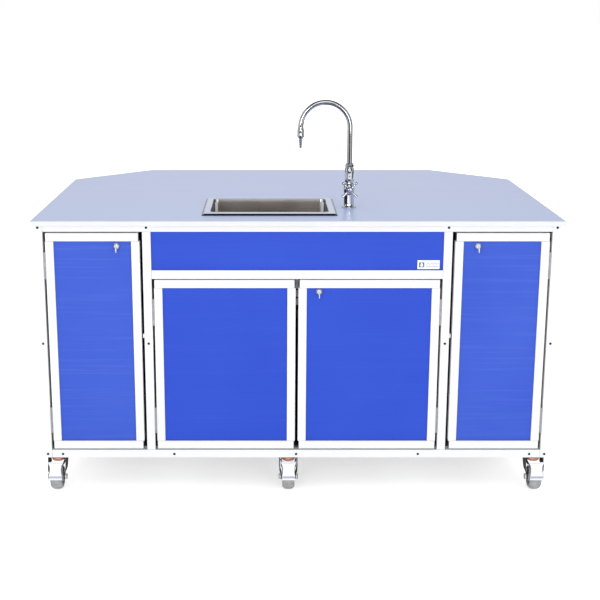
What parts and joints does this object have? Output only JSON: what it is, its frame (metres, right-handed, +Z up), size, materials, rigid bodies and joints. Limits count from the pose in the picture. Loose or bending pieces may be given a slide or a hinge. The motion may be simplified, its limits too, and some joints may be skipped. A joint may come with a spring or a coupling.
{
  "type": "portable sink cabinet",
  "caption": "Wheeled sink bench: framed cabinet with doors, drop-in sink, gooseneck faucet with cross handle, on-board tanks and pump, fold-down rear leaf and braked casters.",
  "frame": {"origin": "on the floor under the middle of the whole bench with its rear leaf up", "axes": "+X to the right of someone facing the doors, +Y from the doors to the rear leaf, +Z up"},
  "size_m": [1.747, 1.252, 1.3348],
  "materials": {
    "frame_white": "satin",
    "panel_blue": "satin",
    "counter_laminate": "satin",
    "stainless": "brushed",
    "chrome": "polished",
    "zinc": "zinc plated",
    "copper": "copper coloured",
    "wheel_rubber": "matte",
    "pedal_white": "satin",
    "tank_plastic": "translucent white",
    "waste_plastic": "grey",
    "black_plastic": "matte",
    "hose_clear": "translucent",
    "hose_grey": "ribbed"
  },
  "bodies": {
    "cabinet": {"base_frame": "frame_white", "top_frame": "frame_white", "left_end_frame": "frame_white", "right_end_frame": "frame_white", "left_partition_frame": "frame_white", "right_partition_frame": "frame_white", "apron_rail": "frame_white", "floor_panel": "frame_white", "left_side_panel": "panel_blue", "right_side_panel": "panel_blue", "rear_panel": "panel_blue", "apron_panel": "panel_blue", "countertop": "counter_laminate", "sink_basin": "stainless", "sink_drain": "stainless", "faucet_body": "chrome", "fresh_water_tank": "tank_plastic", "waste_water_tank": "waste_plastic", "water_pump": "black_plastic", "suction_hose": "hose_clear", "supply_hose": "hose_clear", "drain_hose": "hose_grey", "power_inlet": "black_plastic", "front_left_caster_plate": "copper", "front_middle_caster_plate": "copper", "front_right_caster_plate": "copper", "rear_left_caster_plate": "copper", "rear_middle_caster_plate": "copper", "rear_right_caster_plate": "copper"},
    "front_left_caster_fork": {"front_left_caster_fork": "zinc"},
    "front_left_caster_wheel": {"front_left_caster_wheel": "wheel_rubber"},
    "front_left_caster_brake": {"front_left_caster_brake": "pedal_white"},
    "front_middle_caster_fork": {"front_middle_caster_fork": "zinc"},
    "front_middle_caster_wheel": {"front_middle_caster_wheel": "wheel_rubber"},
    "front_middle_caster_brake": {"front_middle_caster_brake": "pedal_white"},
    "front_right_caster_fork": {"front_right_caster_fork": "zinc"},
    "front_right_caster_wheel": {"front_right_caster_wheel": "wheel_rubber"},
    "front_right_caster_brake": {"front_right_caster_brake": "pedal_white"},
    "rear_left_caster_fork": {"rear_left_caster_fork": "zinc"},
    "rear_left_caster_wheel": {"rear_left_caster_wheel": "wheel_rubber"},
    "rear_middle_caster_fork": {"rear_middle_caster_fork": "zinc"},
    "rear_middle_caster_wheel": {"rear_middle_caster_wheel": "wheel_rubber"},
    "rear_right_caster_fork": {"rear_right_caster_fork": "zinc"},
    "rear_right_caster_wheel": {"rear_right_caster_wheel": "wheel_rubber"},
    "left_door": {"left_door_frame": "frame_white", "left_door_panel": "panel_blue"},
    "right_door": {"right_door_frame": "frame_white", "right_door_panel": "panel_blue"},
    "middle_left_door": {"middle_left_door_frame": "frame_white", "middle_left_door_panel": "panel_blue"},
    "middle_right_door": {"middle_right_door_frame": "frame_white", "middle_right_door_panel": "panel_blue"},
    "left_door_lock": {"left_door_lock": "chrome"},
    "right_door_lock": {"right_door_lock": "chrome"},
    "middle_door_lock": {"middle_door_lock": "chrome"},
    "rear_leaf": {"rear_leaf": "counter_laminate"},
    "left_leaf_support": {"left_leaf_support": "zinc"},
    "right_leaf_support": {"right_leaf_support": "zinc"},
    "faucet_spout": {"faucet_spout": "chrome"},
    "faucet_handle": {"faucet_handle": "chrome"}
  },
  "joints": [
    {"name": "front_left_caster_swivel", "type": "hinge", "parent": "cabinet", "child": "front_left_caster_fork", "pos_m": [-0.834, -0.504, 0.1133], "axis": [0, 0, 1], "continuous": true},
    {"name": "front_left_caster_roll", "type": "hinge", "parent": "front_left_caster_fork", "child": "front_left_caster_wheel", "pos_m": [-0.834, -0.537, 0.0445], "axis": [1, 0, 0], "continuous": true},
    {"name": "front_left_caster_brake_lift", "type": "hinge", "parent": "front_left_caster_fork", "child": "front_left_caster_brake", "pos_m": [-0.834, -0.516, 0.0975], "axis": [-1, 0, 0], "range_deg": [0, 15]},
    {"name": "front_middle_caster_swivel", "type": "hinge", "parent": "cabinet", "child": "front_middle_caster_fork", "pos_m": [-0.026, -0.504, 0.1133], "axis": [0, 0, 1], "continuous": true},
    {"name": "front_middle_caster_roll", "type": "hinge", "parent": "front_middle_caster_fork", "child": "front_middle_caster_wheel", "pos_m": [-0.026, -0.537, 0.0445], "axis": [1, 0, 0], "continuous": true},
    {"name": "front_middle_caster_brake_lift", "type": "hinge", "parent": "front_middle_caster_fork", "child": "front_middle_caster_brake", "pos_m": [-0.026, -0.516, 0.0975], "axis": [-1, 0, 0], "range_deg": [0, 15]},
    {"name": "front_right_caster_swivel", "type": "hinge", "parent": "cabinet", "child": "front_right_caster_fork", "pos_m": [0.834, -0.504, 0.1133], "axis": [0, 0, 1], "continuous": true},
    {"name": "front_right_caster_roll", "type": "hinge", "parent": "front_right_caster_fork", "child": "front_right_caster_wheel", "pos_m": [0.834, -0.537, 0.0445], "axis": [1, 0, 0], "continuous": true},
    {"name": "front_right_caster_brake_lift", "type": "hinge", "parent": "front_right_caster_fork", "child": "front_right_caster_brake", "pos_m": [0.834, -0.516, 0.0975], "axis": [-1, 0, 0], "range_deg": [0, 15]},
    {"name": "rear_left_caster_swivel", "type": "hinge", "parent": "cabinet", "child": "rear_left_caster_fork", "pos_m": [-0.834, -0.04, 0.1133], "axis": [0, 0, 1], "continuous": true},
    {"name": "rear_left_caster_roll", "type": "hinge", "parent": "rear_left_caster_fork", "child": "rear_left_caster_wheel", "pos_m": [-0.834, -0.007, 0.0445], "axis": [1, 0, 0], "continuous": true},
    {"name": "rear_middle_caster_swivel", "type": "hinge", "parent": "cabinet", "child": "rear_middle_caster_fork", "pos_m": [-0.026, -0.04, 0.1133], "axis": [0, 0, 1], "continuous": true},
    {"name": "rear_middle_caster_roll", "type": "hinge", "parent": "rear_middle_caster_fork", "child": "rear_middle_caster_wheel", "pos_m": [-0.026, -0.007, 0.0445], "axis": [1, 0, 0], "continuous": true},
    {"name": "rear_right_caster_swivel", "type": "hinge", "parent": "cabinet", "child": "rear_right_caster_fork", "pos_m": [0.834, -0.04, 0.1133], "axis": [0, 0, 1], "continuous": true},
    {"name": "rear_right_caster_roll", "type": "hinge", "parent": "rear_right_caster_fork", "child": "rear_right_caster_wheel", "pos_m": [0.834, -0.007, 0.0445], "axis": [1, 0, 0], "continuous": true},
    {"name": "left_door_swing", "type": "hinge", "parent": "cabinet", "child": "left_door", "pos_m": [-0.83985, -0.572, 0.1606], "axis": [0, 0, -1], "range_deg": [0, 110]},
    {"name": "right_door_swing", "type": "hinge", "parent": "cabinet", "child": "right_door", "pos_m": [0.83985, -0.572, 0.1606], "axis": [0, 0, 1], "range_deg": [0, 110]},
    {"name": "middle_left_door_swing", "type": "hinge", "parent": "cabinet", "child": "middle_left_door", "pos_m": [-0.48215, -0.572, 0.1606], "axis": [0, 0, -1], "range_deg": [0, 110]},
    {"name": "middle_right_door_swing", "type": "hinge", "parent": "cabinet", "child": "middle_right_door", "pos_m": [0.48215, -0.572, 0.1606], "axis": [0, 0, 1], "range_deg": [0, 110]},
    {"name": "left_door_lock_turn", "type": "hinge", "parent": "left_door", "child": "left_door_lock", "pos_m": [-0.5995, -0.566, 0.8718], "axis": [0, 1, 0], "range_deg": [0, 90]},
    {"name": "right_door_lock_turn", "type": "hinge", "parent": "right_door", "child": "right_door_lock", "pos_m": [0.5995, -0.566, 0.8718], "axis": [0, -1, 0], "range_deg": [0, 90]},
    {"name": "middle_door_lock_turn", "type": "hinge", "parent": "middle_right_door", "child": "middle_door_lock", "pos_m": [0.0738, -0.566, 0.7165], "axis": [0, -1, 0], "range_deg": [0, 90]},
    {"name": "rear_leaf_fold", "type": "hinge", "parent": "cabinet", "child": "rear_leaf", "pos_m": [0, 0.07, 0.9448], "axis": [-1, 0, 0], "range_deg": [0, 90]},
    {"name": "left_leaf_support_swing", "type": "hinge", "parent": "cabinet", "child": "left_leaf_support", "pos_m": [-0.4999, 0.044, 0.655], "axis": [-1, 0, 0], "range_deg": [0, 129.5]},
    {"name": "right_leaf_support_swing", "type": "hinge", "parent": "cabinet", "child": "right_leaf_support", "pos_m": [0.4999, 0.044, 0.655], "axis": [-1, 0, 0], "range_deg": [0, 129.5]},
    {"name": "faucet_spout_swing", "type": "hinge", "parent": "cabinet", "child": "faucet_spout", "pos_m": [0.184, -0.3413, 1.1148], "axis": [0, 0, 1], "continuous": true},
    {"name": "faucet_handle_turn", "type": "hinge", "parent": "cabinet", "child": "faucet_handle", "pos_m": [0.184, -0.3773, 1.0305], "axis": [0, -1, 0], "range_deg": [0, 360]}
  ],
  "couplings": [
    {"joint": "left_leaf_support_swing", "follows": "rear_leaf_fold", "ratio": 1.433},
    {"joint": "right_leaf_support_swing", "follows": "rear_leaf_fold", "ratio": 1.433}
  ]
}
